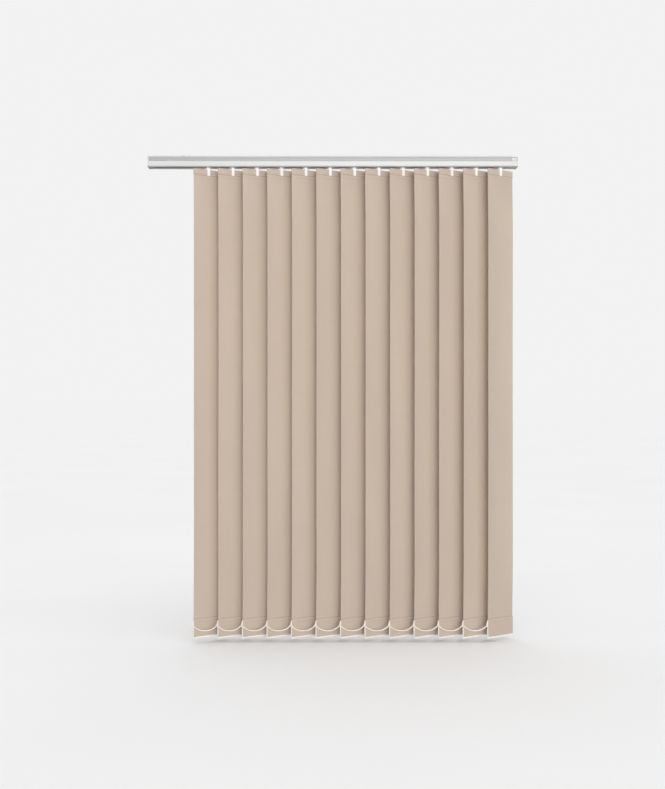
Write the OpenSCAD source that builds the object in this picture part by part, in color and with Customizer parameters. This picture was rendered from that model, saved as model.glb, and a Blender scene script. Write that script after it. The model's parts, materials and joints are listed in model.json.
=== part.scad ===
// Vertical blind: a slotted headrail with carriers, hanging fabric vanes that
// tilt together about their hooks and draw to one side, and a bottom chain.
// Frame: origin on the ceiling plane above the middle of the headrail,
// +X along the headrail to the right, +Y away from the room, +Z up.

/* [Headrail] */
// Length of the headrail over both end caps
rail_len = 1010; // [980:2:1200]
// Gap between the ceiling plane and the top of the headrail
rail_drop = 1.8; // [1.7:0.1:2.4]
// Thickness of the left end cap's plate
idler_cap_t = 4; // [3.5:0.5:8]
// Length of the right end cap's housing, which holds the sprocket
control_cap_t = 16; // [15:0.5:24]
// Distance of each ceiling bracket from the middle of the headrail
bracket_x = 400; // [200:5:440]
// Radius of the ceiling screw holes
screw_hole_r = 2.25; // [1.5:0.05:2.5]

/* [Vanes] */
// Width of a fabric vane
vane_w = 89; // [80:0.5:89]
// Length of a fabric vane from its top fold to its bottom edge
vane_len = 1274.2; // [600:0.1:2400]
// Distance between neighbouring vanes as the blind hangs at rest
rest_pitch = 66.625; // [25:0.125:76.5]
// Tilt of the vanes at rest, from lying along the headrail
tilt_rest = 33; // [12:1:90]
// Height of the welded pocket along the bottom of a vane
pocket_h = 48.1; // [40:0.1:80]
// Height of the welded pocket along the top of a vane
top_pocket_h = 16.3; // [15:0.1:19]
// Thickness of the vane fabric
fabric_t = 0.6; // [0.4:0.1:0.8]

/* [Bottom chain] */
// Diameter of the chain
chain_d = 3.8; // [2.4:0.1:3.8]
// How far a span of the chain sags between two vanes
chain_sag = 15.5; // [10:0.5:26]
// Height of the chain's fastening above the fabric's bottom edge
chain_up = 33.8; // [30:0.1:36]

/* [Hidden] */
$fn = 48;

e = 0.02;                          // overshoot of cuts
n_vanes = 13;                      // vanes in the set
rail_z = -rail_drop;               // top of the headrail
last_x = rail_len / 2 - 46;        // the vane next to the control end stays here
function vane_x(k) = last_x - (n_vanes - k) * rest_pitch;

// levels under the ceiling plane
fabric_top = -37;
fabric_bot = fabric_top - vane_len;
hem_top = fabric_top - top_pocket_h;
hem_bot = fabric_bot + pocket_h;
pin_z = fabric_top - 9;            // pin through the hanger
chain_z = fabric_bot + chain_up;
post_x = vane_w / 2 + 2.8;         // chain post from the vane's axis

// tilt drive: rod beside the hook stem, worm on the rod, wheel on the stem
rod_y = 8;
rod_z = -18;
worm_r = 3.1;
wheel_r = 4.7;
wheel_teeth = 12;

// symmetric outline from its right half, points as [y, z]
function both_sides(half) =
  concat(half, [for (i = [len(half) - 1:-1:0]) [-half[i][0], half[i][1]]]);

// half section of the headrail: bracket channel on top, strip, groove, rolled lip, flange
rail_half = [
  [8.4, -3.6], [8.4, -1.2], [5.2, -1.2], [5.2, 0],
  [17, 0], [17.6, -0.6], [17.6, -3.9], [17.2, -4.6],
  [14.2, -5.8], [14.2, -12.2],
  [17.6, -13.9], [18.8, -14.8], [19.6, -16], [20, -17.6],
  [20, -26], [19.6, -27.6], [18.6, -28.8], [17, -29.4],
  [6.5, -29.4], [6.5, -27.9],
  [16.6, -27.9], [17.9, -27.2], [18.6, -26], [18.6, -17.8], [18, -16.4], [16.8, -15.2],
  [12.8, -13.1], [12.8, -4.9], [16.2, -3.4], [16.2, -1.4], [9.6, -1.4], [9.6, -4.8]
];
cap_half = [
  [17.2, 0], [17.8, -0.6], [17.8, -13.2], [19, -14.6], [19.8, -16], [20.2, -17.6],
  [20.2, -26.2], [19.8, -27.8], [18.8, -29], [17.2, -29.6]
];
plug_half = [[12.4, -5.2], [12.4, -15.6], [18.2, -18], [18.2, -25.8], [16.6, -27.5]];
carrier_half = [
  [11.8, -5.4], [11.8, -16.2], [17, -18.6], [17.8, -19.4], [17.8, -26.2], [16.4, -27.65]
];

// extrudes a [y, z] outline along the headrail from x0 to x1
module along_x(x0, x1)
  translate([x0, 0, 0]) rotate([90, 0, 90]) linear_extrude(x1 - x0) children();

// round bar along X
module bar_x(r, x0, x1)
  translate([x0, 0, 0]) rotate([0, 90, 0]) cylinder(r = r, h = x1 - x0);

// three-ribbed section of the rod, and of the bores that slide on it
module ribbed(core, tip, rib) {
  circle(r = core);
  for (a = [90, 210, 330]) rotate(a) translate([0, -rib / 2]) square([tip, rib]);
}

module at_rod() translate([0, rod_y, rail_z + rod_z]) children();
module at_vane(k) translate([vane_x(k), 0, 0]) rotate([0, 0, tilt_rest]) children();

// ---- headrail and its ends ----

module headrail()
  color("whitesmoke")
    translate([0, 0, rail_z])
      along_x(-rail_len / 2 + idler_cap_t, rail_len / 2 - control_cap_t)
        polygon(both_sides(rail_half));

module idler_end_cap()
  color("white") {
    x = -rail_len / 2;
    difference() {
      translate([0, 0, rail_z]) {
        along_x(x, x + idler_cap_t) polygon(both_sides(cap_half));
        along_x(x + idler_cap_t - e, x + idler_cap_t + 10) polygon(both_sides(plug_half));
      }
      // blind bearing for the end of the rod
      at_rod() bar_x(2.1, x + 2.6, x + idler_cap_t + 10 + e);
      // coring of the plug, which keeps its walls even
      translate([x + idler_cap_t + 1.5, -10.4, rail_z - 25.6]) cube([10, 12.4, 17.8]);
    }
  }

module control_end_cap()
  color("white") {
    x = rail_len / 2;
    difference() {
      translate([0, 0, rail_z]) {
        along_x(x - control_cap_t, x) polygon(both_sides(cap_half));
        along_x(x - control_cap_t - 10, x - control_cap_t + e) polygon(both_sides(plug_half));
      }
      // sprocket chamber, open towards the headrail
      at_rod() bar_x(8.6, x - control_cap_t - 10 - e, x - 1.6);
      // blind bearing for the end of the rod
      at_rod() bar_x(2.1, x - 1.6 - e, x - 0.7);
      // the headrail's groove runs on along the front of the housing
      translate([0, 0, rail_z])
        along_x(x - control_cap_t - e, x - 2.4)
          polygon([[-21, -3.4], [-17.4, -4.6], [-14.4, -5.8], [-14.4, -12.2], [-17.8, -13.9], [-18.9, -14.45], [-21, -14.45]]);
      // outlets for a control chain
      for (s = [-1, 1])
        translate([x - 7.6, rod_y + s * 6.2, rail_z - 30]) cylinder(r = 2.6, h = 12);
      // coring of the plug beside the chamber
      translate([x - control_cap_t - 10 - e, -15.6, rail_z - 25.6]) cube([9, 10, 6.6]);
    }
  }

module brackets()
  color("silver")
    for (s = [-1, 1])
      translate([s * bracket_x, 0, 0]) {
        difference() {
          translate([-12.5, -14, -1.6]) cube([25, 28, 1.6]);
          translate([0, 0, -2]) cylinder(r = screw_hole_r, h = 3);
        }
        // hooked feet in the headrail's top channel
        for (m = [0, 1]) mirror([0, m, 0]) {
          translate([-9, 3.4, rail_z - 2.8]) cube([18, 1.4, rail_drop + 2.8 - 1.6 + e]);
          translate([-9, 3.4, rail_z - 2.8]) cube([18, 4.2, 1.3]);
        }
      }

// ---- tilt drive ----

module tilt_rod()
  color("lightgray")
    at_rod() along_x(-rail_len / 2 + 3, rail_len / 2 - 1) ribbed(1.35, 1.8, 0.9);

module chain_sprocket()
  color("gainsboro")
    at_rod() {
      x = rail_len / 2 - 11.1;
      difference() {
        bar_x(7.6, x, x + 7);
        along_x(x - 1, x + 8) ribbed(1.6, 2.05, 1.3);
        // bead pockets round the rim
        for (i = [0:7])
          rotate([45 * i, 0, 0]) translate([x + 3.5, 0, 8]) sphere(r = 2.35);
      }
    }

module worm(k)
  color("gainsboro")
    translate([vane_x(k), 0, 0]) at_rod()
      difference() {
        union() {
          bar_x(worm_r, -3.6, 3.6);
          bar_x(worm_r - 0.6, -4.3, 4.3);
        }
        along_x(-5, 5) ribbed(1.6, 2.05, 1.3);
      }

// ---- carriers ----

lane_pitch = 0.8;                  // straps of neighbouring carriers lie above each other
strap_len = 80;
function lane_z(k) = -8.5 + lane_pitch * (k % 4);

module carrier(k)
  color("gainsboro")
    translate([vane_x(k), 0, rail_z]) {
      difference() {
        along_x(-12, 12) polygon(both_sides(carrier_half));
        // bearing of the hook stem and the wheel, open at the bottom
        translate([0, 0, -28]) cylinder(r = 5, h = 14.4);
        translate([0, 0, -14]) cylinder(r = 2.3, h = 2.2);
        translate([0, 0, -11.9]) cylinder(r = 3.1, h = 2);
        // worm pocket, open at the back
        translate([0, rod_y, rod_z]) bar_x(3.4, -4.6, 4.6);
        translate([-4.6, rod_y, rod_z - 3.4]) cube([9.2, 12, 6.8]);
        // passage of the rod
        translate([0, rod_y, rod_z]) bar_x(2.3, -12 - e, 12 + e);
        // channel for the spacer straps, with a notch for this carrier's own strap
        translate([-12 - e, -3.3, -8.6]) cube([24 + 2 * e, 6.6, 4]);
        if (k > 1) translate([-1.8, -4.8, lane_z(k) - 0.1]) cube([3.6, 9.6, 5]);
        // relief in the front of the housing
        translate([-9, -12, -14.6]) cube([18, 1.6, 6.4]);
      }
      // spacer strap to the carrier on the left
      if (k > 1) translate([0, 0, lane_z(k)]) {
        translate([-strap_len, -3, 0]) cube([strap_len + 1.5, 6, 0.5]);
        translate([-1.5, -4.5, 0]) cube([3, 9, 0.5]);
      }
    }

// ---- what hangs from a carrier and turns ----

// toothed wheel outline
function wheel_pts() = [
  for (i = [0:wheel_teeth - 1], j = [0:3])
    let (a = 360 / wheel_teeth * (i + [-0.3, -0.16, 0.16, 0.3][j]),
         r = (j == 1 || j == 2) ? wheel_r : wheel_r - 1.1)
      [r * cos(a), r * sin(a)]
];

leg_w = 7.8;                       // width of the hook's legs
leg_in = 1.6;                      // half the gap between the legs
leg_out = 3.1;

module hook() {
  translate([0, 0, rail_z]) {
    translate([0, 0, -11.6]) cylinder(r = 2.7, h = 1.4);
    translate([0, 0, -15]) cylinder(r = 2, h = 3.6);
    translate([0, 0, -21.8]) linear_extrude(7) polygon(wheel_pts());
    translate([0, 0, -27.4]) cylinder(r = wheel_r + 0.05, h = 6.2);
    translate([0, 0, -30.4]) cylinder(r = 4.4, h = 3.6);
    // collar under the slot
    translate([0, 0, -32.9])
      rotate_extrude() polygon([[0, 0], [5.4, 0], [6, 0.6], [6, 2.5], [5.4, 3.1], [0, 3.1]]);
  }
  // bridge and the two legs, one on each face of the vane
  translate([-leg_w / 2, -leg_out, fabric_top + 0.3]) cube([leg_w, 2 * leg_out, 2.2]);
  for (s = [-1, 1])
    translate([0, s * (leg_in + leg_out) / 2, 0]) rotate([90, 0, 0])
      linear_extrude(leg_out - leg_in, center = true)
        polygon([
          [-leg_w / 2, fabric_top + 1.2], [-leg_w / 2, hem_top + 1.2], [-leg_w / 2 + 1.4, hem_top - 0.4],
          [leg_w / 2 - 1.4, hem_top - 0.4], [leg_w / 2, hem_top + 1.2], [leg_w / 2, fabric_top + 1.2]
        ]);
  // pin that carries the hanger
  translate([0, -leg_in - 0.6, pin_z]) rotate([-90, 0, 0]) cylinder(r = 1.4, h = 2 * leg_in + 1.2);
}

// stiff plate in the top pocket
module hanger()
  difference() {
    translate([-vane_w / 2 + 1.5, -0.6, hem_top + 1.8])
      cube([vane_w - 3, 1.2, top_pocket_h - 2.8]);
    translate([0, -2, pin_z]) rotate([-90, 0, 0]) cylinder(r = 1.75, h = 4);
  }

// plate in the bottom pocket, with a rim under the fabric, end bars and chain posts
module weight() {
  slot_lo = chain_z - 4;
  slot_hi = chain_z + 4;
  difference() {
    union() {
      translate([-vane_w / 2 - 1.7, -1.5, fabric_bot - 3.4])
        cube([vane_w + 3.4, 3, pocket_h + 0.4]);
      translate([-vane_w / 2 - 1.7, -2, fabric_bot - 3.5]) cube([vane_w + 3.4, 4, 3.2]);
      for (m = [0, 1]) mirror([m, 0, 0])
        translate([vane_w / 2 + 0.3, -2, fabric_bot - 3.4]) cube([1.4, 4, pocket_h + 0.4]);
    }
    for (m = [0, 1]) mirror([m, 0, 0])
      translate([vane_w / 2 + 0.2, -3, slot_lo]) cube([4, 6, slot_hi - slot_lo]);
  }
  for (m = [0, 1]) mirror([m, 0, 0]) {
    for (z = [slot_lo - 1.8, slot_hi])
      translate([vane_w / 2 + 1.6, -1.2, z]) cube([2.5, 2.4, 1.8]);
    translate([post_x, 0, slot_lo - 0.5]) cylinder(r = 0.9, h = slot_hi - slot_lo + 1);
  }
}

module vane_hardware(k)
  color("white")
    at_vane(k) {
      hook();
      hanger();
      weight();
    }

// fabric with its two welded pockets
module slat(k)
  color([0.79, 0.72, 0.65])
    at_vane(k)
      difference() {
        along_x(-vane_w / 2, vane_w / 2)
          difference() {
            polygon(both_sides([
              [0.75, fabric_top], [1.15, fabric_top - 0.4], [1.15, hem_top + 1], [fabric_t / 2, hem_top],
              [fabric_t / 2, hem_bot], [2.05, hem_bot - 2], [2.05, fabric_bot]
            ]));
            translate([-0.75, hem_top + 1.3]) square([1.5, top_pocket_h - 1.8]);
            translate([-1.65, fabric_bot - 1]) square([3.3, pocket_h - 1.4]);
          }
        translate([0, -4, pin_z]) rotate([-90, 0, 0]) cylinder(r = 2.4, h = 8);
      }

// ---- bottom chain ----

eye_y = 4.4;                       // the chain runs this far in front of the posts
eye_r = 2;
function post_at(k) = [
  vane_x(k) - post_x * cos(tilt_rest), -post_x * sin(tilt_rest), chain_z
];

// ring on the post with a round eye in front that holds the chain
module chain_clip(k)
  translate(post_at(k)) {
    difference() {
      translate([0, 0, -2.5]) cylinder(r = 2.3, h = 5);
      translate([0, 0, -3]) cylinder(r = 1.25, h = 6);
    }
    translate([-0.7, -3.6, -1.2]) cube([1.4, 1.8, 2.4]);
    translate([0, -eye_y, 0]) sphere(r = eye_r);
  }

// sagging span between two clips: rings along a curve a little rounder than a parabola
span_rings = 9;
span_round = 2.5;
span_sides = 8;
span_t0 = 0.024;
function span_pt(k, t) =
  post_at(k) + [rest_pitch * t, -eye_y, -chain_sag * (1 - pow(abs(1 - 2 * t), span_round))];
function span_dir(t) =
  let (s = 1 - 2 * t, v = [rest_pitch, 0, -2 * span_round * chain_sag * sign(s) * pow(abs(s), span_round - 1)])
    v / norm(v);
function span_ring(k, t) =
  let (d = span_dir(t), up = [-d[2], 0, d[0]])
    [for (i = [0:span_sides - 1])
      span_pt(k, t) + chain_d / 2 * (cos(360 / span_sides * i) * [0, 1, 0] + sin(360 / span_sides * i) * up)];
module chain_span(k) {
  ts = [for (i = [0:span_rings - 1]) span_t0 + (1 - 2 * span_t0) * i / (span_rings - 1)];
  pts = [for (t = ts) for (p = span_ring(k, t)) p];
  n = span_sides;
  polyhedron(
    points = pts,
    faces = concat(
      [[for (i = [0:n - 1]) i]],
      [for (r = [0:span_rings - 2], i = [0:n - 1])
        [r * n + i, (r + 1) * n + i, (r + 1) * n + (i + 1) % n, r * n + (i + 1) % n]],
      [[for (i = [n - 1:-1:0]) (span_rings - 1) * n + i]]
    )
  );
}

module bottom_chain()
  color("ivory") {
    for (k = [1:n_vanes - 1]) chain_span(k);
    for (k = [2:n_vanes]) chain_clip(k);
  }

module chain_end_clip() color("ivory") chain_clip(1);

headrail();
idler_end_cap();
control_end_cap();
brackets();
tilt_rod();
chain_sprocket();
carrier(1);  // carrier_01
carrier(2);  // carrier_02
carrier(3);  // carrier_03
carrier(4);  // carrier_04
carrier(5);  // carrier_05
carrier(6);  // carrier_06
carrier(7);  // carrier_07
carrier(8);  // carrier_08
carrier(9);  // carrier_09
carrier(10);  // carrier_10
carrier(11);  // carrier_11
carrier(12);  // carrier_12
carrier(13);  // carrier_13
worm(1);  // worm_01
worm(2);  // worm_02
worm(3);  // worm_03
worm(4);  // worm_04
worm(5);  // worm_05
worm(6);  // worm_06
worm(7);  // worm_07
worm(8);  // worm_08
worm(9);  // worm_09
worm(10);  // worm_10
worm(11);  // worm_11
worm(12);  // worm_12
worm(13);  // worm_13
vane_hardware(1);  // vane_hardware_01
vane_hardware(2);  // vane_hardware_02
vane_hardware(3);  // vane_hardware_03
vane_hardware(4);  // vane_hardware_04
vane_hardware(5);  // vane_hardware_05
vane_hardware(6);  // vane_hardware_06
vane_hardware(7);  // vane_hardware_07
vane_hardware(8);  // vane_hardware_08
vane_hardware(9);  // vane_hardware_09
vane_hardware(10);  // vane_hardware_10
vane_hardware(11);  // vane_hardware_11
vane_hardware(12);  // vane_hardware_12
vane_hardware(13);  // vane_hardware_13
slat(1);  // slat_01
slat(2);  // slat_02
slat(3);  // slat_03
slat(4);  // slat_04
slat(5);  // slat_05
slat(6);  // slat_06
slat(7);  // slat_07
slat(8);  // slat_08
slat(9);  // slat_09
slat(10);  // slat_10
slat(11);  // slat_11
slat(12);  // slat_12
slat(13);  // slat_13
bottom_chain();
chain_end_clip();
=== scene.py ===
import json
import math

import bmesh
import bpy
import numpy as np
from mathutils import Matrix, Vector


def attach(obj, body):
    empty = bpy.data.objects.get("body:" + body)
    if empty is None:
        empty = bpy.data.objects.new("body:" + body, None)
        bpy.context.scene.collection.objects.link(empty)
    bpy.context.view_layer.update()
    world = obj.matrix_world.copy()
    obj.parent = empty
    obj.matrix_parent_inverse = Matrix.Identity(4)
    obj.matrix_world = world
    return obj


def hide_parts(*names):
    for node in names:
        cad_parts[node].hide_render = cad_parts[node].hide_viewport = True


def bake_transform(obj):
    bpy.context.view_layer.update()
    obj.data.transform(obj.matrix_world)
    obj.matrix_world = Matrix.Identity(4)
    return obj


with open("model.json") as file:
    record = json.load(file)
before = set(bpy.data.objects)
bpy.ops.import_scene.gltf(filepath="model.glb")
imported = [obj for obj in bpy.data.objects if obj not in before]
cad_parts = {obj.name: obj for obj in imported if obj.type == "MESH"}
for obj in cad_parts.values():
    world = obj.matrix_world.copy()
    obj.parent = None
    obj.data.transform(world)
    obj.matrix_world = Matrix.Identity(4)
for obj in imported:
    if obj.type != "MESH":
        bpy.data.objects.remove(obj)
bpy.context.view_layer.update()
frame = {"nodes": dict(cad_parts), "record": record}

scene = bpy.context.scene
nodes = frame["nodes"]

# ---------------------------------------------------------------- dimensions, millimetres
N = 13                                   # vanes
LAST_X = 459.0                           # axis of the vane beside the control end
PITCH = 66.625                           # between vanes at rest
TILT = math.radians(33.0)                # vanes at rest
VANE_W = 89.0
FAB_TOP, FAB_BOT = -37.0, -1311.2
HEM_TOP, HEM_BOT = -53.3, -1263.1
POST = VANE_W / 2 + 2.8                  # chain post from the vane's axis
CHAIN_Z = -1277.4
EYE_Y = 4.4
SAG = 15.5
SAG_ROUND = 2.5                          # 2 would be a parabola
CHAIN_D = 3.8
MM = 0.001


def vane_x(k):
    return LAST_X - (N - k) * PITCH


def post_at(k):
    return np.array([vane_x(k) - POST * math.cos(TILT), -POST * math.sin(TILT), CHAIN_Z])


# ---------------------------------------------------------------- camera
cam_data = bpy.data.cameras.new("camera")
cam = bpy.data.objects.new("camera", cam_data)
scene.collection.objects.link(cam)
cam.location = (-0.0005, -2.95, -0.6522)
cam.rotation_euler = (math.radians(90.0), 0.0, 0.0)
cam_data.sensor_fit = "AUTO"
cam_data.sensor_width = 36.0
cam_data.lens = 1076.6 * 36.0 / 789.0
cam_data.clip_start, cam_data.clip_end = 0.05, 400.0
scene.camera = cam


# ---------------------------------------------------------------- material helpers
class Tree:
    """Short hand for building a node material."""

    def __init__(self, name):
        self.mat = bpy.data.materials.new(name)
        self.mat.use_nodes = True
        self.t = self.mat.node_tree
        self.t.nodes.clear()
        self.out = self.t.nodes.new("ShaderNodeOutputMaterial")
        self.bsdf = self.t.nodes.new("ShaderNodeBsdfPrincipled")
        self.t.links.new(self.bsdf.outputs[0], self.out.inputs["Surface"])

    def put(self, kind, **settings):
        n = self.t.nodes.new(kind)
        for key, value in settings.items():
            setattr(n, key, value)
        return n

    def feed(self, source, target):
        if isinstance(source, (int, float)):
            target.default_value = source
        elif isinstance(source, (tuple, list)):
            target.default_value = source
        else:
            self.t.links.new(source, target)

    def math(self, op, a, b=None, c=None, clamp=False):
        n = self.put("ShaderNodeMath", operation=op, use_clamp=clamp)
        for i, v in enumerate((a, b, c)):
            if v is not None:
                self.feed(v, n.inputs[i])
        return n.outputs[0]

    def mix(self, factor, a, b, blend="MIX"):
        n = self.put("ShaderNodeMix", data_type="RGBA", blend_type=blend)
        self.feed(factor, n.inputs["Factor"])
        self.feed(a, n.inputs["A"])
        self.feed(b, n.inputs["B"])
        return next(o for o in n.outputs if o.type == "RGBA")

    def ramp(self, value, low, high, a=0.0, b=1.0):
        n = self.put("ShaderNodeMapRange", clamp=True)
        for i, v in enumerate((value, low, high, a, b)):
            self.feed(v, n.inputs[i])
        return n.outputs[0]

    def noise(self, vector, scale, detail=2.0, rough=0.5, kind="3D"):
        n = self.put("ShaderNodeTexNoise", noise_dimensions=kind)
        self.t.links.new(vector, n.inputs["Vector"])
        n.inputs["Scale"].default_value = scale
        n.inputs["Detail"].default_value = detail
        n.inputs["Roughness"].default_value = rough
        return n.outputs["Fac"]

    def stretch(self, vector, scale, shift=(0, 0, 0)):
        n = self.put("ShaderNodeMapping")
        self.t.links.new(vector, n.inputs["Vector"])
        n.inputs["Scale"].default_value = scale
        n.inputs["Location"].default_value = shift
        return n.outputs[0]

    def bump(self, height, strength, distance, normal=None):
        n = self.put("ShaderNodeBump")
        n.inputs["Strength"].default_value = strength
        n.inputs["Distance"].default_value = distance
        self.t.links.new(height, n.inputs["Height"])
        if normal is not None:
            self.t.links.new(normal, n.inputs["Normal"])
        return n.outputs[0]


def srgb(r, g, b):
    """Scene-linear colour from 0-255 display values."""
    def one(c):
        c /= 255.0
        return c / 12.92 if c <= 0.04045 else ((c + 0.055) / 1.055) ** 2.4
    return (one(r), one(g), one(b), 1.0)


def coords(tree, seed_attribute=None):
    """Object coordinates in metres, moved by a piece's own seed where it has one."""
    tc = tree.put("ShaderNodeTexCoord")
    if seed_attribute is None:
        return tc.outputs["Object"]
    at = tree.put("ShaderNodeAttribute", attribute_name=seed_attribute)
    add = tree.put("ShaderNodeVectorMath", operation="ADD")
    tree.t.links.new(tc.outputs["Object"], add.inputs[0])
    tree.t.links.new(at.outputs["Vector"], add.inputs[1])
    return add.outputs[0]


# ---------------------------------------------------------------- materials
def fabric_material():
    m = Tree("vane_fabric")
    tc = m.put("ShaderNodeTexCoord").outputs["Object"]
    sep = m.put("ShaderNodeSeparateXYZ")
    m.t.links.new(tc, sep.inputs[0])
    x, z = sep.outputs["X"], sep.outputs["Z"]
    own = coords(m, "vane_seed")

    # plain weave: warp and weft crowns that pass over each other
    pitch = 0.00062
    fx = m.math("MULTIPLY", x, math.pi / pitch)
    fz = m.math("MULTIPLY", z, math.pi / pitch)
    sx, sz = m.math("SINE", fx), m.math("SINE", fz)
    over = m.math("GREATER_THAN", m.math("MULTIPLY", sx, sz), 0.0)
    warp = m.math("MULTIPLY", m.math("ABSOLUTE", sx), m.math("ADD", m.math("MULTIPLY", m.math("ABSOLUTE", sz), 0.35), 0.65))
    weft = m.math("MULTIPLY", m.math("ABSOLUTE", sz), m.math("ADD", m.math("MULTIPLY", m.math("ABSOLUTE", sx), 0.35), 0.65))
    pick = m.put("ShaderNodeMix", data_type="FLOAT")
    m.feed(over, pick.inputs["Factor"])
    m.feed(weft, pick.inputs["A"])
    m.feed(warp, pick.inputs["B"])
    weave = next(o for o in pick.outputs if o.type == "VALUE")

    # slubs: long uneven yarns along and across, and a soft cloudiness
    slub_x = m.noise(m.stretch(own, (2.2, 40.0, 420.0)), 1.0, 2.0, 0.6)
    slub_z = m.noise(m.stretch(own, (520.0, 40.0, 3.0)), 1.0, 2.0, 0.6)
    cloud = m.noise(m.stretch(own, (9.0, 9.0, 2.2)), 1.0, 3.0, 0.55)
    fibre = m.noise(own, 2600.0, 2.0, 0.6)

    base = m.mix(m.ramp(cloud, 0.3, 0.7), srgb(207, 191, 175), srgb(201, 185, 170))
    base = m.mix(m.ramp(slub_x, 0.52, 0.8, 0.0, 0.3), base, srgb(192, 174, 156))
    base = m.mix(m.ramp(slub_z, 0.55, 0.8, 0.0, 0.35), base, srgb(214, 199, 183))
    # painted shade: the hollows between the yarn crowns are painted darker
    base = m.mix(m.math("MULTIPLY", m.math("SUBTRACT", 1.0, weave), 0.34), base, srgb(168, 150, 132))
    base = m.mix(m.ramp(fibre, 0.45, 0.75, 0.0, 0.16), base, srgb(220, 207, 193))

    # the fused hem lines are denser, so darker and a little smoother
    def line(z0, half):
        return m.ramp(m.math("ABSOLUTE", m.math("SUBTRACT", z, z0)), half * 0.45, half, 1.0, 0.0)

    weld = m.math("MAXIMUM", line(HEM_TOP * MM, 0.0013), line(HEM_BOT * MM, 0.0013))
    faint = m.math("MAXIMUM", line((HEM_TOP - 9.0) * MM, 0.0009), line((HEM_BOT - 8.0) * MM, 0.0009))
    dots = m.math("GREATER_THAN", m.math("SINE", m.math("MULTIPLY", x, 2 * math.pi / 0.0016)), -0.2)
    weld_mark = m.math("MULTIPLY", weld, m.math("ADD", m.math("MULTIPLY", dots, 0.35), 0.65))
    base = m.mix(m.math("MULTIPLY", weld_mark, 0.48), base, srgb(160, 140, 121))
    base = m.mix(m.math("MULTIPLY", faint, 0.28), base, srgb(170, 151, 133))
    m.t.links.new(base, m.bsdf.inputs["Base Color"])

    rough = m.math("SUBTRACT", m.ramp(fibre, 0.3, 0.7, 0.78, 0.92), m.math("MULTIPLY", weld_mark, 0.2))
    m.t.links.new(rough, m.bsdf.inputs["Roughness"])
    m.bsdf.inputs["Specular IOR Level"].default_value = 0.22
    m.bsdf.inputs["Sheen Weight"].default_value = 0.12
    m.bsdf.inputs["Sheen Roughness"].default_value = 0.6

    n = m.bump(weave, 0.55, 0.00018)
    n = m.bump(m.math("ADD", slub_x, slub_z), 0.22, 0.0003, n)
    n = m.bump(m.math("MULTIPLY", weld_mark, -1.0), 0.6, 0.0003, n)
    m.t.links.new(n, m.bsdf.inputs["Normal"])
    return m.mat


def plastic_material(name, colour, shade, rough=(0.34, 0.5), coat=0.0, grain=1400.0, depth=0.00006):
    """Moulded plastic: faint flow mottling, a fine grain and uneven gloss."""
    m = Tree(name)
    tc = coords(m)
    mottle = m.noise(m.stretch(tc, (60.0, 60.0, 34.0)), 1.0, 3.0, 0.55)
    grainy = m.noise(tc, grain, 2.0, 0.6)
    base = m.mix(m.ramp(mottle, 0.35, 0.7), colour, shade)
    m.t.links.new(base, m.bsdf.inputs["Base Color"])
    m.t.links.new(m.ramp(m.math("ADD", mottle, m.math("MULTIPLY", grainy, 0.5)), 0.5, 1.0, rough[0], rough[1]), m.bsdf.inputs["Roughness"])
    m.bsdf.inputs["Specular IOR Level"].default_value = 0.45
    m.bsdf.inputs["Coat Weight"].default_value = coat
    n = m.bump(grainy, 0.25, depth)
    n = m.bump(mottle, 0.2, 0.0003, n)
    m.t.links.new(n, m.bsdf.inputs["Normal"])
    return m.mat


def enamel_material():
    """White powder coat on an extrusion: orange peel, faint die lines along its length."""
    m = Tree("rail_enamel")
    tc = coords(m)
    peel = m.noise(tc, 900.0, 2.0, 0.5)
    die = m.noise(m.stretch(tc, (1.5, 900.0, 900.0)), 1.0, 2.0, 0.6)
    broad = m.noise(m.stretch(tc, (5.0, 30.0, 30.0)), 1.0, 2.0, 0.5)
    base = m.mix(m.ramp(broad, 0.3, 0.7), srgb(206, 206, 205), srgb(201, 201, 200))
    base = m.mix(m.ramp(die, 0.55, 0.8, 0.0, 0.18), base, srgb(195, 195, 194))
    # painted shade: the recess along the face is painted grey, as shade would fall in it
    sep = m.put("ShaderNodeSeparateXYZ")
    m.t.links.new(tc, sep.inputs[0])
    recess_shade = m.ramp(m.math("ABSOLUTE", sep.outputs["Y"]), 0.0146, 0.0168, 1.0, 0.0)
    level = m.ramp(m.math("ABSOLUTE", m.math("ADD", sep.outputs["Z"], 0.0107)), 0.0044, 0.0054, 1.0, 0.0)
    base = m.mix(m.math("MULTIPLY", m.math("MULTIPLY", recess_shade, level), 0.9), base, srgb(165, 165, 166))
    # painted shade: the upper lip and the top are painted greyer, as they would look in shade
    upper = m.ramp(sep.outputs["Z"], -0.0056, -0.0046, 0.0, 1.0)
    base = m.mix(m.math("MULTIPLY", upper, m.ramp(broad, 0.2, 0.8, 0.6, 0.85)), base, srgb(173, 173, 171))
    m.t.links.new(base, m.bsdf.inputs["Base Color"])
    m.t.links.new(m.ramp(peel, 0.3, 0.7, 0.3, 0.42), m.bsdf.inputs["Roughness"])
    m.bsdf.inputs["Specular IOR Level"].default_value = 0.5
    n = m.bump(peel, 0.22, 0.00012)
    n = m.bump(die, 0.12, 0.00008, n)
    m.t.links.new(n, m.bsdf.inputs["Normal"])
    return m.mat


def metal_material(name, colour, shade, along=(2.0, 600.0, 600.0), rough=(0.28, 0.45)):
    """Drawn or plated metal with fine lines along its length."""
    m = Tree(name)
    tc = coords(m)
    lines = m.noise(m.stretch(tc, along), 1.0, 3.0, 0.6)
    spots = m.noise(tc, 220.0, 3.0, 0.6)
    base = m.mix(m.ramp(lines, 0.35, 0.7), colour, shade)
    base = m.mix(m.ramp(spots, 0.58, 0.75, 0.0, 0.3), base, shade)
    m.t.links.new(base, m.bsdf.inputs["Base Color"])
    m.bsdf.inputs["Metallic"].default_value = 1.0
    m.t.links.new(m.ramp(lines, 0.3, 0.7, rough[0], rough[1]), m.bsdf.inputs["Roughness"])
    m.t.links.new(m.bump(lines, 0.3, 0.00004), m.bsdf.inputs["Normal"])
    return m.mat


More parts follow.
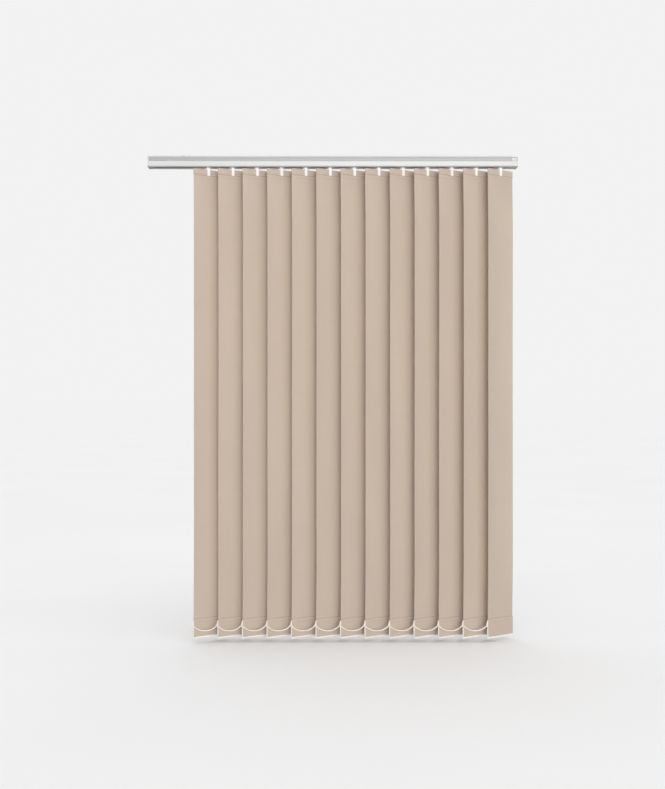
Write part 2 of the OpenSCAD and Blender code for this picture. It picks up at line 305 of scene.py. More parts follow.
FABRIC = fabric_material()
ENAMEL = enamel_material()
CAP = plastic_material("cap_plastic", srgb(208, 208, 206), srgb(202, 202, 200), (0.42, 0.58))
HOOK = plastic_material("hook_plastic", srgb(250, 249, 246), srgb(243, 242, 238), (0.28, 0.42), 0.0, 1900.0, 0.00004)
CARRIER = plastic_material("carrier_plastic", srgb(214, 214, 212), srgb(202, 202, 200), (0.4, 0.55))
CHAIN = plastic_material("chain_plastic", srgb(252, 245, 234), srgb(248, 238, 225), (0.22, 0.36), 0.15, 2400.0, 0.00003)
ROD = metal_material("rod_aluminium", (0.74, 0.75, 0.76, 1.0), (0.58, 0.59, 0.6, 1.0))
STEEL = metal_material("bracket_steel", (0.56, 0.57, 0.58, 1.0), (0.42, 0.43, 0.44, 1.0), (90.0, 700.0, 90.0), (0.46, 0.62))

BY_SLOT = {
    "rail_enamel": ENAMEL, "cap_plastic": CAP, "hook_plastic": HOOK, "carrier_plastic": CARRIER,
    "chain_plastic": CHAIN, "rod_aluminium": ROD, "bracket_steel": STEEL, "vane_fabric": FABRIC,
}
for row in frame["record"]["subparts"]:
    o = nodes[row["node"]]
    o.data.materials.clear()
    o.data.materials.append(BY_SLOT[row["material_slot"]])


# ---------------------------------------------------------------- edges of the carried-over pieces
def round_edges(o, width, segments=2, angle=28.0):
    """Moulded and extruded edges are never knife-sharp: a small rounding on every edge of a piece."""
    if "custom_normal" in o.data.attributes:
        o.data.attributes.remove(o.data.attributes["custom_normal"])
    weld = o.modifiers.new("weld", "WELD")
    weld.merge_threshold = 0.000004
    bevel = o.modifiers.new("edges", "BEVEL")
    bevel.width = width
    bevel.segments = segments
    bevel.limit_method = "ANGLE"
    bevel.angle_limit = math.radians(angle)
    bevel.use_clamp_overlap = True
    bevel.miter_outer = "MITER_ARC"
    bevel.harden_normals = True


for name, o in nodes.items():
    if name.startswith("carrier"):
        round_edges(o, 0.0003)
    elif name in ("idler_end_cap", "control_end_cap"):
        round_edges(o, 0.0004)
    elif name == "headrail":
        round_edges(o, 0.00022)
    elif name == "brackets":
        round_edges(o, 0.0002)


# ---------------------------------------------------------------- mesh helpers
def make_object(name, verts, faces, material, smooth_deg=40.0):
    me = bpy.data.meshes.new(name)
    me.from_pydata([tuple(v) for v in verts], [], faces)
    me.validate()
    for p in me.polygons:
        p.use_smooth = True
    me.update()
    me.set_sharp_from_angle(angle=math.radians(smooth_deg))
    me.materials.append(material)
    o = bpy.data.objects.new(name, me)
    scene.collection.objects.link(o)
    return o


# ---------------------------------------------------------------- bottom chain
def span_line(k, n):
    """Points of the span from vane k to the next one, millimetres."""
    a = post_at(k) + np.array([0.0, -EYE_Y, 0.0])
    t = np.linspace(0.0, 1.0, n)
    return np.stack([a[0] + PITCH * t, np.full(n, a[1]), a[2] - SAG * (1 - np.abs(1 - 2 * t) ** SAG_ROUND)], 1)


def by_length(points, places):
    seg = np.linalg.norm(np.diff(points, axis=0), axis=1)
    s = np.concatenate([[0.0], np.cumsum(seg)])
    return np.stack([np.interp(places, s, points[:, i]) for i in range(3)], 1), s[-1]


def follow(o):
    """Bakes the placement of a small stiff piece of the chain into its mesh."""
    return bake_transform(o)


def follow_span(o):
    """Bakes the placement of a stretch of the chain into its mesh."""
    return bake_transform(o)


def lathe(profile, steps):
    """Closed surface of revolution about Z, from points [r, z] that start and end on the axis."""
    verts, faces, rows = [], [], []
    for r, z in profile:
        if r < 1e-9:
            rows.append([len(verts)])
            verts.append((0.0, 0.0, z))
        else:
            rows.append(list(range(len(verts), len(verts) + steps)))
            for i in range(steps):
                a = 2 * math.pi * i / steps
                verts.append((r * math.cos(a), r * math.sin(a), z))
    for lo, hi in zip(rows, rows[1:]):
        for i in range(steps):
            j = (i + 1) % steps
            f = [lo[i % len(lo)], lo[j % len(lo)], hi[j % len(hi)], hi[i % len(hi)]]
            f = list(dict.fromkeys(f))
            if len(f) > 2:
                faces.append(f)
    return np.array(verts), faces


def tube(points, radius, sides):
    """Closed tube along points that lie in a plane of constant Y."""
    verts, faces = [], []
    d = np.gradient(points, axis=0)
    d /= np.linalg.norm(d, axis=1)[:, None]
    for p, t in zip(points, d):
        up = np.array([-t[2], 0.0, t[0]])
        for i in range(sides):
            a = 2 * math.pi * i / sides
            verts.append(p + radius * (math.cos(a) * np.array([0.0, 1.0, 0.0]) + math.sin(a) * up))
    n = len(points)
    for r in range(n - 1):
        for i in range(sides):
            j = (i + 1) % sides
            faces.append([r * sides + i, (r + 1) * sides + i, (r + 1) * sides + j, r * sides + j])
    faces.append(list(range(sides)))
    faces.append([(n - 1) * sides + i for i in reversed(range(sides))])
    return np.array(verts), faces


def joined(name, parts):
    """One object from several."""
    with bpy.context.temp_override(active_object=parts[0], object=parts[0], selected_objects=parts, selected_editable_objects=parts):
        bpy.ops.object.join()
    parts[0].name = name
    parts[0].data.name = name
    return parts[0]


BEAD_R = CHAIN_D / 2
spans = []
for k in range(1, N):
    fine = span_line(k, 400)
    _, total = by_length(fine, [0.0])
    clear = 2.3                                  # the clip's eye takes this much at each end
    usable = total - 2 * clear
    n_beads = 18
    pitch = usable / n_beads
    centres, _ = by_length(fine, clear + pitch * (np.arange(n_beads) + 0.5))
    line, _ = by_length(fine, np.linspace(clear, total - clear, 49))
    v, f = tube(line, 0.62, 8)
    thread = make_object(f"chain_thread_{k:02d}", v * MM, f, CHAIN)
    follow_span(thread)
    parts = [thread]
    profile = [(BEAD_R * math.sin(a), -BEAD_R * math.cos(a)) for a in np.linspace(0, math.pi, 9)]
    profile[0], profile[-1] = (0.0, -BEAD_R), (0.0, BEAD_R)
    bead_v, bead_f = lathe(profile, 14)
    for i, c in enumerate(centres):
        bead = make_object(f"bead_{k:02d}_{i:02d}", (bead_v + c) * MM, bead_f, CHAIN)
        parts.append(follow(bead))
    span = joined(f"chain_span_{k:02d}", parts)
    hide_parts("bottom_chain")
    spans.append(span)


def clip_mesh():
    """Ring that snaps on the post, short neck and round eye, about the post's axis, millimetres."""
    ring = [(1.25, -2.3), (1.45, -2.5), (2.05, -2.5), (2.3, -2.2), (2.36, 0.0), (2.3, 2.2), (2.05, 2.5), (1.45, 2.5), (1.25, 2.3)]
    verts, faces, steps = [], [], 28
    for r, z in ring:
        for i in range(steps):
            a = 2 * math.pi * i / steps
            verts.append((r * math.cos(a), r * math.sin(a), z))
    for r in range(len(ring)):
        q = (r + 1) % len(ring)
        for i in range(steps):
            j = (i + 1) % steps
            faces.append([r * steps + i, r * steps + j, q * steps + j, q * steps + i])
    verts = np.array(verts)
    eye = [(2.0 * math.sin(a), -2.0 * math.cos(a)) for a in np.linspace(0, math.pi, 13)]
    eye[0], eye[-1] = (0.0, -2.0), (0.0, 2.0)
    ev, ef = lathe(eye, 20)
    ev = ev + np.array([0.0, -EYE_Y, 0.0])
    faces += [[i + len(verts) for i in f] for f in ef]
    verts = np.concatenate([verts, ev])
    # neck: a waisted oval bar from the ring to the eye
    nv, nf, rings, sides = [], [], 7, 12
    for s in range(rings):
        t = s / (rings - 1)
        waist = 0.72 + 0.55 * (2 * t - 1) ** 2
        for i in range(sides):
            a = 2 * math.pi * i / sides
            nv.append((0.75 * waist * math.cos(a), -2.1 - 1.5 * t, 1.25 * waist * math.sin(a)))
    for s in range(rings - 1):
        for i in range(sides):
            j = (i + 1) % sides
            nf.append([s * sides + i, s * sides + j, (s + 1) * sides + j, (s + 1) * sides + i])
    nf.append([i for i in reversed(range(sides))])
    nf.append([(rings - 1) * sides + i for i in range(sides)])
    faces += [[i + len(verts) for i in f] for f in nf]
    return np.concatenate([verts, np.array(nv)]), faces


clip_v, clip_f = clip_mesh()
for k in range(1, N + 1):
    p = post_at(k)
    clip = make_object(f"chain_clip_{k:02d}", (clip_v + p) * MM, clip_f, CHAIN)
    if k == 1:
        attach(clip, "chain_lead")
        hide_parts("chain_end_clip")
    elif k == N:
        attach(clip, "chain")
    else:
        follow(clip)


# ---------------------------------------------------------------- hooks, hangers, weights and worms
# Built once each in millimetres about the vane's axis, then set on every vane.
def scratch(name, bm):
    bmesh.ops.recalc_face_normals(bm, faces=bm.faces[:])
    me = bpy.data.meshes.new(name)
    bm.to_mesh(me)
    bm.free()
    o = bpy.data.objects.new(name, me)
    scene.collection.objects.link(o)
    return o


def from_lists(name, verts, faces):
    bm = bmesh.new()
    made = [bm.verts.new(tuple(v)) for v in verts]
    for f in faces:
        bm.faces.new([made[i] for i in f])
    return scratch(name, bm)


def rounded_box(name, low, high, r, segments=3):
    bm = bmesh.new()
    bmesh.ops.create_cube(bm, size=1.0)
    for v in bm.verts:
        v.co = Vector([low[i] + (v.co[i] + 0.5) * (high[i] - low[i]) for i in range(3)])
    bmesh.ops.bevel(bm, geom=bm.edges[:], offset=r, segments=segments, profile=0.5, affect="EDGES", clamp_overlap=True)
    return scratch(name, bm)


def prism(name, outline, a, b, r, segments=3, axis="Y"):
    """Outline extruded from a to b, along Y with points [x, z] or along Z with points [x, y]; its rims are rounded."""
    bm = bmesh.new()
    i = 1 if axis == "Y" else 2
    face = bm.faces.new([bm.verts.new((u, a, w) if axis == "Y" else (u, w, a)) for u, w in outline])
    out = bmesh.ops.extrude_face_region(bm, geom=[face])
    for v in [g for g in out["geom"] if isinstance(g, bmesh.types.BMVert)]:
        v.co[i] = b
    bmesh.ops.recalc_face_normals(bm, faces=bm.faces[:])
    rims = [e for e in bm.edges if abs(e.verts[0].co[i] - e.verts[1].co[i]) < 1e-6]
    bmesh.ops.bevel(bm, geom=rims, offset=r, segments=segments, profile=0.5, affect="EDGES", clamp_overlap=True)
    return scratch(name, bm)


def arc(cx, cz, r, a, b, n=6):
    return [(cx + r * math.cos(math.radians(t)), cz + r * math.sin(math.radians(t))) for t in np.linspace(a, b, n)]


def loft(name, rings):
    """Closed surface through rings of equally many points."""
    n = len(rings[0])
    verts = [p for ring in rings for p in ring]
    faces = []
    for r in range(len(rings) - 1):
        for i in range(n):
            j = (i + 1) % n
            faces.append([r * n + i, r * n + j, (r + 1) * n + j, (r + 1) * n + i])
    faces.append([i for i in reversed(range(n))])
    faces.append([(len(rings) - 1) * n + i for i in range(n)])
    return from_lists(name, verts, faces)


def combine(name, parts, cuts=()):
    """One closed mesh from overlapping solids."""
    base = parts[0]
    for operation, others in (("UNION", parts[1:]), ("DIFFERENCE", cuts)):
        for other in others:
            m = base.modifiers.new("join", "BOOLEAN")
            m.operation, m.solver, m.object = operation, "EXACT", other
    me = bpy.data.meshes.new_from_object(base.evaluated_get(bpy.context.evaluated_depsgraph_get()))
    for o in list(parts) + list(cuts):
        bpy.data.objects.remove(o, do_unlink=True)
    if len(me.polygons) < 20:
        raise RuntimeError(f"{name}: the solids didn't join")
    me.name = name
    me.transform(Matrix.Scale(MM, 4))
    for poly in me.polygons:
        poly.use_smooth = True
    me.set_sharp_from_angle(angle=math.radians(38.0))
    return me


def bar_y(name, r, y0, y1, z, steps=32):
    v, f = lathe([(0.0, y0), (r, y0), (r, y1), (0.0, y1)], steps)
    v = np.stack([v[:, 0], v[:, 2], v[:, 1] + z], 1)
    return from_lists(name, v, f)


PIN_Z = FAB_TOP - 9.0
SLOT_LO, SLOT_HI = CHAIN_Z - 4.0, CHAIN_Z + 4.0


def hook_mesh():
    # turned part: button, neck, wheel core, journal, stem and collar
    core = [(0.0, -34.7), (5.1, -34.7), (5.6, -34.6), (5.9, -34.3), (6.0, -33.9), (6.0, -32.4), (5.9, -32.0), (5.6, -31.7),
            (5.1, -31.6), (4.4, -31.6), (4.4, -29.3), (4.75, -29.1), (4.75, -23.4), (3.75, -23.2), (3.75, -16.9), (3.4, -16.6),
            (2.0, -16.6), (2.0, -13.6), (2.45, -13.4), (2.7, -13.15), (2.7, -12.35), (2.4, -12.0), (0.0, -12.0)]
    v, f = lathe(core, 48)
    parts = [from_lists("core", v, f)]
    teeth = []
    for i in range(12):
        for shift, r in ((-0.3, 3.6), (-0.16, 4.6), (-0.08, 4.7), (0.08, 4.7), (0.16, 4.6), (0.3, 3.6)):
            a = 2 * math.pi / 12 * (i + shift)
            teeth.append((r * math.cos(a), r * math.sin(a)))
    parts.append(prism("teeth", teeth, -23.5, -16.7, 0.18, 2, "Z"))
    # shoulder that goes from the round collar to the square bridge
    def squarish(half_x, half_y, power):
        ring = []
        for i in range(56):
            a = 2 * math.pi * i / 56
            c, q = math.cos(a), math.sin(a)
            ring.append((half_x * math.copysign(abs(c) ** (2 / power), c), half_y * math.copysign(abs(q) ** (2 / power), q)))
        return ring
    rings = []
    for z, hx, hy, power in ((-34.2, 4.9, 4.9, 2.0), (-34.75, 4.6, 4.2, 2.3), (-35.2, 4.15, 3.5, 3.2), (-35.7, 3.95, 3.16, 5.0),
                             (-36.2, 3.9, 3.1, 7.0), (-36.5, 3.84, 3.04, 7.0), (-36.68, 3.65, 2.85, 7.0), (-36.72, 3.3, 2.5, 6.0)):
        rings.append([(px, py, z) for px, py in squarish(hx, hy, power)])
    parts.append(loft("shoulder", rings))
    # two legs with rounded tips and a shallow panel on the outer face
    def leg(side):
        stations = [(z, 3.9, 3.1) for z in (-35.6, -36.6, -37.6, -38.2, -38.8, -39.6, -43.0, -47.0, -49.6, -50.4, -51.0, -51.6)]
        stations += [(-52.1 - 1.6 * math.sin(math.radians(a)), 3.9 - 1.6 * (1 - math.cos(math.radians(a))), 3.1 - 0.6 * (1 - math.cos(math.radians(a))))
                     for a in (0, 18, 36, 52, 66, 78, 90)]
        rings = []
        for z, w, yo in stations:
            rc = min(0.42, 0.4 * (yo - 1.6))
            sunk = 0.24 * float(smooth(-38.0, -38.9, z) * smooth(-51.2, -50.2, z))
            ring = []
            for px in np.linspace(-(w - rc), w - rc, 13):
                ring.append((px, yo - sunk * float(smooth(2.55, 2.15, abs(px)))))
            ring += [(w - rc + rc * math.sin(t), yo - rc + rc * math.cos(t)) for t in np.radians((30, 60, 90))]
            ri = 0.18
            ring += [(w - ri + ri * math.cos(t), 1.6 + ri - ri * math.sin(t)) for t in np.radians((0, 45, 90))]
            ring += [(-(w - ri) - ri * math.sin(t), 1.6 + ri - ri * math.cos(t)) for t in np.radians((0, 45, 90))]
            ring += [(-(w - rc) - rc * math.cos(t), yo - rc + rc * math.sin(t)) for t in np.radians((0, 30, 60))]
            rings.append([(px, side * py, z) for px, py in ring])
        return loft("leg", rings)
    parts += [leg(-1.0), leg(1.0), bar_y("pin", 1.4, -2.2, 2.2, PIN_Z)]
    return combine("hook", parts)


def hanger_mesh():
    w, lo_z, hi_z, r = VANE_W / 2 - 1.5, HEM_TOP + 1.8, FAB_TOP - 1.0, 1.6
    outline = (arc(w - r, hi_z - r, r, 0, 90) + arc(-w + r, hi_z - r, r, 90, 180) + arc(-w + r, lo_z + r, r, 180, 270) + arc(w - r, lo_z + r, r, 270, 360))
    return combine("hanger", [prism("plate", outline, -0.6, 0.6, 0.2, 2)], [bar_y("hole", 1.75, -3.0, 3.0, PIN_Z)])


def weight_mesh():
    out_x, in_x = VANE_W / 2 + 1.7, VANE_W / 2 + 0.12
    bottom, rim, top = FAB_BOT - 3.5, FAB_BOT - 0.3, HEM_BOT - 3.0
    parts = [rounded_box("plate", (-in_x - 0.1, -1.5, bottom + 1.0), (in_x + 0.1, 1.5, top), 0.5)]
    # rim and lower bars in one
    frame_line = (arc(-out_x + 1.3, bottom + 1.3, 1.3, 180, 270) + arc(out_x - 1.3, bottom + 1.3, 1.3, 270, 360)
                  + arc(out_x - 0.35, SLOT_LO - 0.35, 0.35, 0, 90, 4) + [(in_x, SLOT_LO)]
                  + arc(in_x - 0.5, rim + 0.5, 0.5, 0, -90, 4) + arc(-in_x + 0.5, rim + 0.5, 0.5, -90, -180, 4)
                  + [(-in_x, SLOT_LO)] + arc(-out_x + 0.35, SLOT_LO - 0.35, 0.35, 90, 180, 4))
    parts.append(prism("frame", frame_line, -2.0, 2.0, 0.38))
    for side in (-1.0, 1.0):
        def box(name, x0, x1, y, z0, z1, r):
            a, b = sorted((side * x0, side * x1))
            return rounded_box(name, (a, -y, z0), (b, y, z1), r)
        parts.append(box("upper_bar", in_x, out_x, 2.0, SLOT_HI, top, 0.38))
        parts.append(box("lower_arm", out_x - 0.6, VANE_W / 2 + 4.1, 1.2, SLOT_LO - 1.8, SLOT_LO, 0.34))
        parts.append(box("upper_arm", out_x - 0.6, VANE_W / 2 + 4.1, 1.2, SLOT_HI, SLOT_HI + 1.8, 0.34))
        v, f = lathe([(0.0, SLOT_LO - 0.7), (0.9, SLOT_LO - 0.7), (0.9, SLOT_HI + 0.7), (0.0, SLOT_HI + 0.7)], 28)
        parts.append(from_lists("post", v + np.array([side * POST, 0.0, 0.0]), f))
    return combine("weight", parts)


def worm_mesh():
    """Three-start worm with its ribbed bore, about X; millimetres scaled to metres."""
    steps, axial = 72, 2.17
    rows = [(-4.3, 0), (-4.15, 0), (-3.6, 0)] + [(x, 1) for x in np.linspace(-3.6, 3.6, 49)] + [(3.6, 0), (4.15, 0), (4.3, 0)]
    verts, faces = [], []
    for x, thread in rows:
        for i in range(steps):
            a = 2 * math.pi * i / steps
            r = 2.5 - (0.15 if abs(x) > 4.2 else 0.0)
            if thread:
                crest = 0.5 + 1.3 * math.cos(2 * math.pi * (x / axial - 3 * a / (2 * math.pi)))
                r = 2.4 + 0.68 * max(0.0, min(1.0, crest))
            verts.append((x, r * math.cos(a), r * math.sin(a)))
    n_out = len(rows)
    for x in (4.3, -4.3):
        for i in range(steps):
            a = 2 * math.pi * i / steps
            rib = min(abs((math.degrees(a) - c + 180) % 360 - 180) for c in (90, 210, 330))
            r = 2.05 if rib <= 18.1 else 1.6
            verts.append((x, r * math.cos(a), r * math.sin(a)))
    total = n_out + 2
    for q in range(total):
        w = (q + 1) % total
        for i in range(steps):
            j = (i + 1) % steps
            faces.append([q * steps + i, q * steps + j, w * steps + j, w * steps + i])
    me = bpy.data.meshes.new("worm")
    me.from_pydata([tuple(c * MM for c in v) for v in verts], [], faces)
    bm = bmesh.new()
    bm.from_mesh(me)
    bmesh.ops.recalc_face_normals(bm, faces=bm.faces[:])
    bm.to_mesh(me)
    bm.free()
    for poly in me.polygons:
        poly.use_smooth = True
    me.set_sharp_from_angle(angle=math.radians(40.0))
    return me


def smooth(a, b, x):
    t = np.clip((np.asarray(x, float) - a) / (b - a), 0.0, 1.0)
    return t * t * (3 - 2 * t)


HOOK_MESH, HANGER_MESH, WEIGHT_MESH, WORM_MESH = hook_mesh(), hanger_mesh(), weight_mesh(), worm_mesh()
for k in range(1, N + 1):
    for kind, mesh in (("hook", HOOK_MESH), ("hanger", HANGER_MESH), ("weight", WEIGHT_MESH)):
        o = bpy.data.objects.new(f"{kind}_{k:02d}", mesh.copy())
        scene.collection.objects.link(o)
        o.data.materials.clear()
        o.data.materials.append(HOOK)
        o.location = (vane_x(k) * MM, 0.0, 0.0)
        o.rotation_euler = (0.0, 0.0, TILT)
        even = o.modifiers.new("even_faces", "WEIGHTED_NORMAL")
        even.keep_sharp = True
        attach(o, f"vane_{k:02d}")
        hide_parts(f"vane_hardware_{k:02d}")
    o = bpy.data.objects.new(f"worm_thread_{k:02d}", WORM_MESH.copy())
    scene.collection.objects.link(o)
    o.data.materials.append(CARRIER)
    o.location = (vane_x(k) * MM, 0.008, -0.0198)
    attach(o, f"worm_gear_{k:02d}")
    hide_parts(f"worm_{k:02d}")


# ---------------------------------------------------------------- fabric vanes
CLOTH_T = 0.42


def main_path():
    """Middle line of the cloth as [y, z]: flap behind, over the top fold, down the front, to the bottom edge."""
    flap = HEM_TOP - 9.0
    pts = [(0.46, flap), (0.46, flap + 0.6), (0.46, flap + 4.0), (0.46, HEM_TOP - 1.6), (0.4, HEM_TOP - 0.7), (0.36, HEM_TOP),
           (0.42, HEM_TOP + 0.6), (0.72, HEM_TOP + 1.3), (0.9, HEM_TOP + 2.2), (0.94, HEM_TOP + 4.5), (0.94, -45.0), (0.94, -39.5)]
    for a in np.linspace(0, math.pi, 9):
        pts.append((0.94 * math.cos(a), -38.05 + 0.94 * math.sin(a)))
    pts += [(-0.94, -39.5), (-0.94, -45.0), (-0.94, HEM_TOP + 4.5), (-0.9, HEM_TOP + 2.2), (-0.62, HEM_TOP + 1.3), (-0.12, HEM_TOP + 0.6),
            (0.1, HEM_TOP), (0.02, HEM_TOP - 0.7), (-0.04, HEM_TOP - 1.6), (-0.02, HEM_TOP - 4.0)]
    pts += [(-0.03, flap + 1.2), (0.05, flap), (0.0, flap - 1.2)]
    z0, z1 = flap - 6.0, HEM_BOT + 6.0
    n = 92
    pts += [(0.0, z0 + (z1 - z0) * i / n) for i in range(n + 1)]
    pts += [(0.0, HEM_BOT + 1.6), (0.04, HEM_BOT + 0.7), (0.12, HEM_BOT), (-0.1, HEM_BOT - 0.6), (-0.8, HEM_BOT - 1.4), (-1.5, HEM_BOT - 2.3),
            (-1.8, HEM_BOT - 3.6), (-1.85, HEM_BOT - 5.5), (-1.85, HEM_BOT - 7.2), (-1.74, HEM_BOT - 8.0), (-1.85, HEM_BOT - 8.8)]
    z0, z1, n = HEM_BOT - 11.0, FAB_BOT, 8
    pts += [(-1.85, z0 + (z1 - z0) * i / n) for i in range(n + 1)]
    return np.array(pts)


def back_strip():
    """Rear wall of the bottom pocket, welded to the cloth at the hem."""
    pts = [(0.48, HEM_BOT + 6.0), (0.48, HEM_BOT + 1.6), (0.44, HEM_BOT + 0.7), (0.5, HEM_BOT), (0.66, HEM_BOT - 0.6), (1.1, HEM_BOT - 1.4),
           (1.6, HEM_BOT - 2.3), (1.82, HEM_BOT - 3.6), (1.85, HEM_BOT - 5.5)]
    z0, z1, n = HEM_BOT - 8.0, FAB_BOT, 9
    pts += [(1.85, z0 + (z1 - z0) * i / n) for i in range(n + 1)]
    return np.array(pts)


def cloth_shell(path, xs, push):
    """Closed thin shell along path, across xs; push(x, z) moves it out of its plane."""
    d = np.gradient(path, axis=0)
    d /= np.linalg.norm(d, axis=1)[:, None]
    normal = np.stack([d[:, 1], -d[:, 0]], 1)             # to the cloth's outer face
    verts, faces = [], []
    n, m = len(path), len(xs)
    for side in (0.5, -0.5):
        for i in range(n):
            y, z = path[i] + normal[i] * CLOTH_T * side
            for x in xs:
                verts.append((x, y + push(x, path[i][1]), z))
    def at(side, i, j):
        return side * n * m + i * m + j
    for i in range(n - 1):
        for j in range(m - 1):
            faces.append([at(0, i, j), at(0, i, j + 1), at(0, i + 1, j + 1), at(0, i + 1, j)])
            faces.append([at(1, i, j), at(1, i + 1, j), at(1, i + 1, j + 1), at(1, i, j + 1)])
    for i in range(n - 1):
        faces.append([at(0, i, 0), at(0, i + 1, 0), at(1, i + 1, 0), at(1, i, 0)])
        faces.append([at(0, i, m - 1), at(1, i, m - 1), at(1, i + 1, m - 1), at(0, i + 1, m - 1)])
    for j in range(m - 1):
        faces.append([at(0, 0, j), at(1, 0, j), at(1, 0, j + 1), at(0, 0, j + 1)])
        faces.append([at(0, n - 1, j), at(0, n - 1, j + 1), at(1, n - 1, j + 1), at(1, n - 1, j)])
    return verts, faces


across = VANE_W / 2 * np.array([-1.0, -0.994, -0.97, -0.92, -0.84, -0.74, -0.62, -0.5, -0.36, -0.22, -0.08,
                                0.08, 0.22, 0.36, 0.5, 0.62, 0.74, 0.84, 0.92, 0.97, 0.994, 1.0])
MAIN, STRIP = main_path(), back_strip()
rng = np.random.RandomState(7)
for k in range(1, N + 1):
    cup = 2.3 + 0.5 * rng.rand()
    ph = rng.rand(6) * 2 * math.pi
    amp = 0.22 + 0.16 * rng.rand()

    def push(x, z, cup=cup, ph=ph, amp=amp):
        free = float(smooth(HEM_TOP - 8.0, HEM_TOP - 150.0, z) * smooth(HEM_BOT + 8.0, HEM_BOT + 150.0, z))
        u = x / (VANE_W / 2)
        curl = cup * (0.33 - u * u)
        wave = amp * (math.sin(z / 210.0 + ph[0]) * u + 0.6 * math.sin(z / 97.0 + ph[1]) * u * u + 0.35 * math.sin(z / 320.0 + ph[2]))
        return free * (curl + wave)

    v1, f1 = cloth_shell(MAIN, across, push)
    v2, f2 = cloth_shell(STRIP, across, push)
    verts = np.array(v1 + v2) * MM
    faces = f1 + [[i + len(v1) for i in f] for f in f2]
    vane = make_object(f"fabric_vane_{k:02d}", verts, faces, FABRIC, 50.0)
    seed = vane.data.attributes.new("vane_seed", "FLOAT_VECTOR", "POINT")
    seed.data.foreach_set("vector", np.tile(np.array([1.7 * k, 0.0, 0.61 * k], np.float32), len(verts)))
    bm = bmesh.new()
    bm.from_mesh(vane.data)
    bmesh.ops.recalc_face_normals(bm, faces=bm.faces)
    bm.to_mesh(vane.data)
    bm.free()
    vane.location = (vane_x(k) * MM, 0.0, 0.0)
    vane.rotation_euler = (0.0, 0.0, TILT)
    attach(vane, f"vane_{k:02d}")
    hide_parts(f"slat_{k:02d}")


# ---------------------------------------------------------------- stage and light
FLOOR_Z = -1.3275
PALE = 0.89                              # the floor and all round it, scene-linear
FLOOR_LIGHT = 3.0


def floor_mesh():
    """Plain level floor that reaches to the horizon on every side."""
    at = (-150.0, -30.0, -6.0, 6.0, 30.0, 150.0)
    verts = [(x, y, FLOOR_Z) for y in at for x in at]
    n = len(at)
    faces = [[j * n + i, j * n + i + 1, (j + 1) * n + i + 1, (j + 1) * n + i] for j in range(n - 1) for i in range(n - 1)]
    return verts, faces


def stage_material():
    m = Tree("studio_floor")
    tc = coords(m)
    broad = m.noise(tc, 1.3, 2.0, 0.5)
    base = m.mix(m.ramp(broad, 0.3, 0.7), (0.88, 0.88, 0.885, 1.0), (0.865, 0.865, 0.87, 1.0))
    # it throws less light back on the object than so pale a floor would
    seen = m.put("ShaderNodeLightPath").outputs["Is Camera Ray"]
    m.t.links.new(m.mix(seen, (0.42, 0.42, 0.423, 1.0), base), m.bsdf.inputs["Base Color"])
    m.bsdf.inputs["Roughness"].default_value = 0.9
    m.bsdf.inputs["Specular IOR Level"].default_value = 0.0
    return m.mat


v, f = floor_mesh()
floor = make_object("studio_floor", v, f, stage_material(), 60.0)


def linked(light, state):
    """The floor has a light of its own, so it is evenly pale on every side: INCLUDE is only the floor, EXCLUDE all but it."""
    group = bpy.data.collections.new(f"{light.name}_{state.lower()}")
    group.objects.link(floor)
    group.collection_objects[0].light_linking.link_state = state
    light.light_linking.receiver_collection = group


def area(name, location, target, size, energy, colour=(1.0, 1.0, 1.0), size_y=None):
    d = bpy.data.lights.new(name, "AREA")
    d.energy, d.size, d.color = energy, size, colour
    if size_y:
        d.shape, d.size_y = "RECTANGLE", size_y
    o = bpy.data.objects.new(name, d)
    scene.collection.objects.link(o)
    o.location = location
    o.rotation_euler = (Vector(target) - Vector(location)).to_track_quat("-Z", "Y").to_euler()
    return o


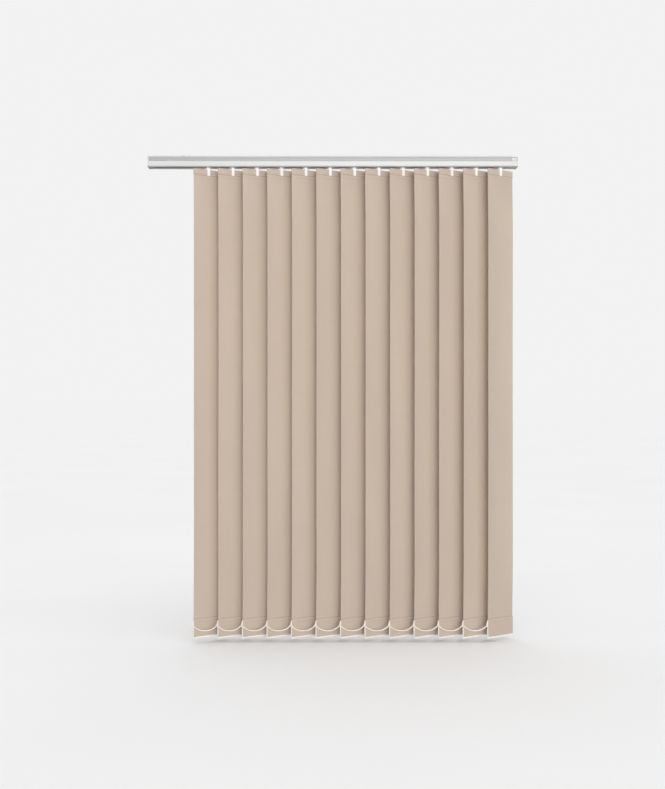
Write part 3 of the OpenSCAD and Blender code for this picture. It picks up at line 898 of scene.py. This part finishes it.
def softbox(name, azimuth, elevation, distance, size, size_y, energy, colour=(1.0, 1.0, 1.0)):
    """Large soft light in front of the object; azimuth is measured from straight ahead towards its right side."""
    az, el = math.radians(azimuth), math.radians(elevation)
    aim = Vector((0.0, 0.0, -0.65))
    place = aim + distance * Vector((math.sin(az) * math.cos(el), -math.cos(az) * math.cos(el), math.sin(el)))
    return area(name, place, aim, size, energy, colour, size_y)


for lamp in (
    softbox("key", 4.0, 4.5, 9.0, 3.9, 3.4, 512.0, (1.0, 0.997, 0.99)),
    softbox("side", 28.0, 5.0, 9.0, 5.5, 3.4, 242.0, (1.0, 0.997, 0.99)),
    softbox("fill", -48.0, 8.0, 9.0, 4.0, 3.4, 115.0, (1.0, 0.997, 0.99)),
    softbox("back", 216.0, 12.0, 6.5, 3.0, 3.0, 175.0, (1.0, 0.998, 0.994)),
    area("top", (0.0, 0.7, 4.6), (0.0, 3.4, 0.0), 5.0, 238.0),
):
    linked(lamp, "EXCLUDE")

sky = bpy.data.lights.new("floor_light", "SUN")
sky.energy, sky.angle = FLOOR_LIGHT, math.radians(110.0)
sky_lamp = bpy.data.objects.new("floor_light", sky)
scene.collection.objects.link(sky_lamp)
linked(sky_lamp, "INCLUDE")

world = bpy.data.worlds.new("studio")
scene.world = world
world.use_nodes = True
bg = world.node_tree.nodes["Background"]
bg.inputs["Color"].default_value = (0.98, 0.99, 1.0, 1.0)
bg.inputs["Strength"].default_value = 0.06
# above the horizon the studio is plain and as pale as the floor
pale = world.node_tree.nodes.new("ShaderNodeBackground")
pale.inputs["Color"].default_value = (1.0, 1.0, 1.0, 1.0)
pale.inputs["Strength"].default_value = PALE
path = world.node_tree.nodes.new("ShaderNodeLightPath")
both = world.node_tree.nodes.new("ShaderNodeMixShader")
world.node_tree.links.new(path.outputs["Is Camera Ray"], both.inputs[0])
world.node_tree.links.new(bg.outputs[0], both.inputs[1])
world.node_tree.links.new(pale.outputs[0], both.inputs[2])
world.node_tree.links.new(both.outputs[0], world.node_tree.nodes["World Output"].inputs["Surface"])

scene.view_settings.view_transform = "Standard"
scene.view_settings.look = "None"
scene.view_settings.exposure = 0.0
scene.view_settings.gamma = 1.0
